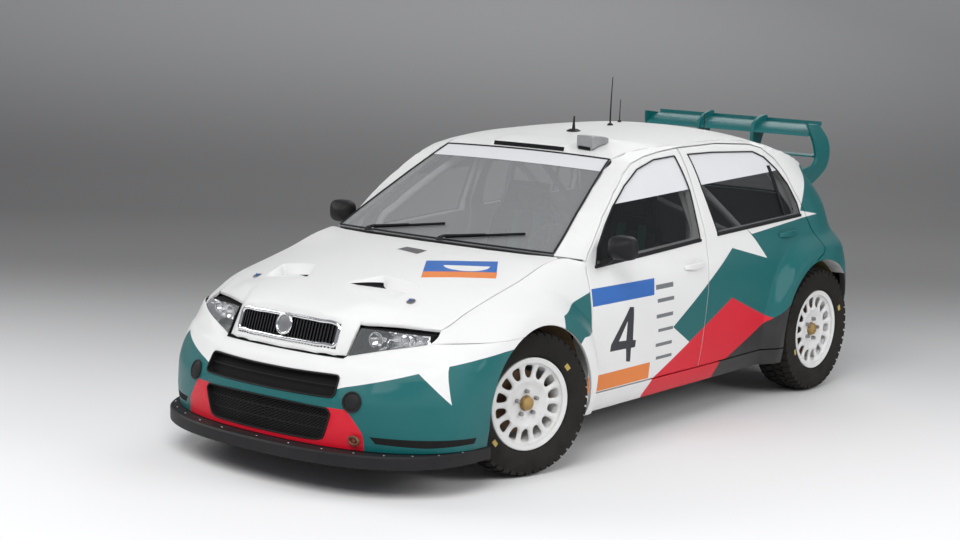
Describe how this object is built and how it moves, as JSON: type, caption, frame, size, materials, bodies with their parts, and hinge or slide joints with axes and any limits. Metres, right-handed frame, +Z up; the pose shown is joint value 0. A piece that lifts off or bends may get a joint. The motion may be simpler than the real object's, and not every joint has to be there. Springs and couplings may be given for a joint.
{
  "type": "rally hatchback car",
  "caption": "Compact five-door rally hatchback with opening doors, hood and tailgate, steered front wheels and turning wheels.",
  "frame": {"origin": "on the ground under the centre of the car's length and width, standing on its wheels", "axes": "+Z up, the car's front faces -Y, its left side is +X"},
  "size_m": [1.86, 3.9995, 1.638],
  "materials": {
    "white_paint": "gloss",
    "teal_paint": "gloss",
    "black_plastic": "matte",
    "tyre_rubber": "matte",
    "wheel_paint": "satin",
    "grey_steel": "satin",
    "chrome": "polished",
    "clear_glass": "clear",
    "clear_lens": "clear",
    "red_lens": "gloss",
    "seat_cloth": "matte"
  },
  "bodies": {
    "body": {"body_side_left": "white_paint", "front_fender_left": "white_paint", "headlamp_left": "clear_lens", "tail_lamp_left": "red_lens", "seat_left": "seat_cloth", "body_side_right": "white_paint", "front_fender_right": "white_paint", "headlamp_right": "clear_lens", "tail_lamp_right": "red_lens", "seat_right": "seat_cloth", "front_bumper": "white_paint", "rear_bumper": "white_paint", "roof_panel": "white_paint", "roll_cage": "white_paint", "roof_vent": "chrome", "dashboard": "black_plastic", "cowl": "black_plastic", "front_splitter": "black_plastic", "roof_aerial": "black_plastic", "floor_pan": "black_plastic", "windscreen": "clear_glass", "engine_block": "grey_steel", "radiator": "grey_steel", "front_subframe": "grey_steel", "strut_brace": "grey_steel", "rear_axle": "grey_steel", "exhaust": "grey_steel"},
    "front_door_left_body": {"front_door_left": "white_paint", "front_window_left": "clear_glass", "mirror_left": "black_plastic"},
    "rear_door_left_body": {"rear_door_left": "white_paint", "rear_window_left": "clear_glass"},
    "front_upright_left": {"knuckle_left": "grey_steel"},
    "front_wheel_left": {"rim_front_left": "wheel_paint", "tyre_front_left": "tyre_rubber"},
    "rear_wheel_left": {"rim_rear_left": "wheel_paint", "tyre_rear_left": "tyre_rubber"},
    "front_door_right_body": {"front_door_right": "white_paint", "front_window_right": "clear_glass", "mirror_right": "black_plastic"},
    "rear_door_right_body": {"rear_door_right": "white_paint", "rear_window_right": "clear_glass"},
    "front_upright_right": {"knuckle_right": "grey_steel"},
    "front_wheel_right": {"rim_front_right": "wheel_paint", "tyre_front_right": "tyre_rubber"},
    "rear_wheel_right": {"rim_rear_right": "wheel_paint", "tyre_rear_right": "tyre_rubber"},
    "hood_body": {"hood": "white_paint", "grille": "chrome"},
    "tailgate_body": {"tailgate": "teal_paint", "rear_window": "clear_glass", "rear_wing": "teal_paint"},
    "steering_wheel_body": {"steering_wheel": "black_plastic"}
  },
  "joints": [
    {"name": "front_door_left_hinge", "type": "hinge", "parent": "body", "child": "front_door_left_body", "pos_m": [0.828, -0.685, 0.9], "axis": [0, 0, -1], "range_deg": [0, 65]},
    {"name": "rear_door_left_hinge", "type": "hinge", "parent": "body", "child": "rear_door_left_body", "pos_m": [0.815, 0.262, 0.9], "axis": [0, 0, -1], "range_deg": [0, 65]},
    {"name": "front_door_right_hinge", "type": "hinge", "parent": "body", "child": "front_door_right_body", "pos_m": [-0.828, -0.685, 0.9], "axis": [0, 0, 1], "range_deg": [0, 65]},
    {"name": "rear_door_right_hinge", "type": "hinge", "parent": "body", "child": "rear_door_right_body", "pos_m": [-0.815, 0.262, 0.9], "axis": [0, 0, 1], "range_deg": [0, 65]},
    {"name": "steering_left", "type": "hinge", "parent": "body", "child": "front_upright_left", "pos_m": [0.68702, -1.068, 0.325], "axis": [0, 0, 1], "range_deg": [-14, 45]},
    {"name": "steering_right", "type": "hinge", "parent": "body", "child": "front_upright_right", "pos_m": [-0.68702, -1.068, 0.325], "axis": [0, 0, 1], "range_deg": [-14, 45]},
    {"name": "front_wheel_left_spin", "type": "hinge", "parent": "front_upright_left", "child": "front_wheel_left", "pos_m": [0.815, -1.10421, 0.325], "axis": [0.9622, -0.2723, 0], "continuous": true},
    {"name": "rear_wheel_left_spin", "type": "hinge", "parent": "body", "child": "rear_wheel_left", "pos_m": [0.836, 1.36, 0.325], "axis": [1, 0, 0], "continuous": true},
    {"name": "front_wheel_right_spin", "type": "hinge", "parent": "front_upright_right", "child": "front_wheel_right", "pos_m": [-0.815, -1.03179, 0.325], "axis": [-0.9622, 0.2723, 0], "continuous": true},
    {"name": "rear_wheel_right_spin", "type": "hinge", "parent": "body", "child": "rear_wheel_right", "pos_m": [-0.836, 1.36, 0.325], "axis": [-1, 0, 0], "continuous": true},
    {"name": "hood_hinge", "type": "hinge", "parent": "body", "child": "hood_body", "pos_m": [0, -0.74, 0.91504], "axis": [-1, 0, 0], "range_deg": [0, 55]},
    {"name": "tailgate_hinge", "type": "hinge", "parent": "body", "child": "tailgate_body", "pos_m": [0, 1.634, 1.21305], "axis": [1, 0, 0], "range_deg": [0, 80]},
    {"name": "steering_column", "type": "hinge", "parent": "body", "child": "steering_wheel_body", "pos_m": [0.33, -0.24, 0.82997], "axis": [0, 0.9272, 0.3746], "range_deg": [-210, 675]}
  ],
  "couplings": [
    {"joint": "steering_right", "follows": "steering_left", "ratio": 1},
    {"joint": "steering_column", "follows": "steering_left", "ratio": 15}
  ]
}
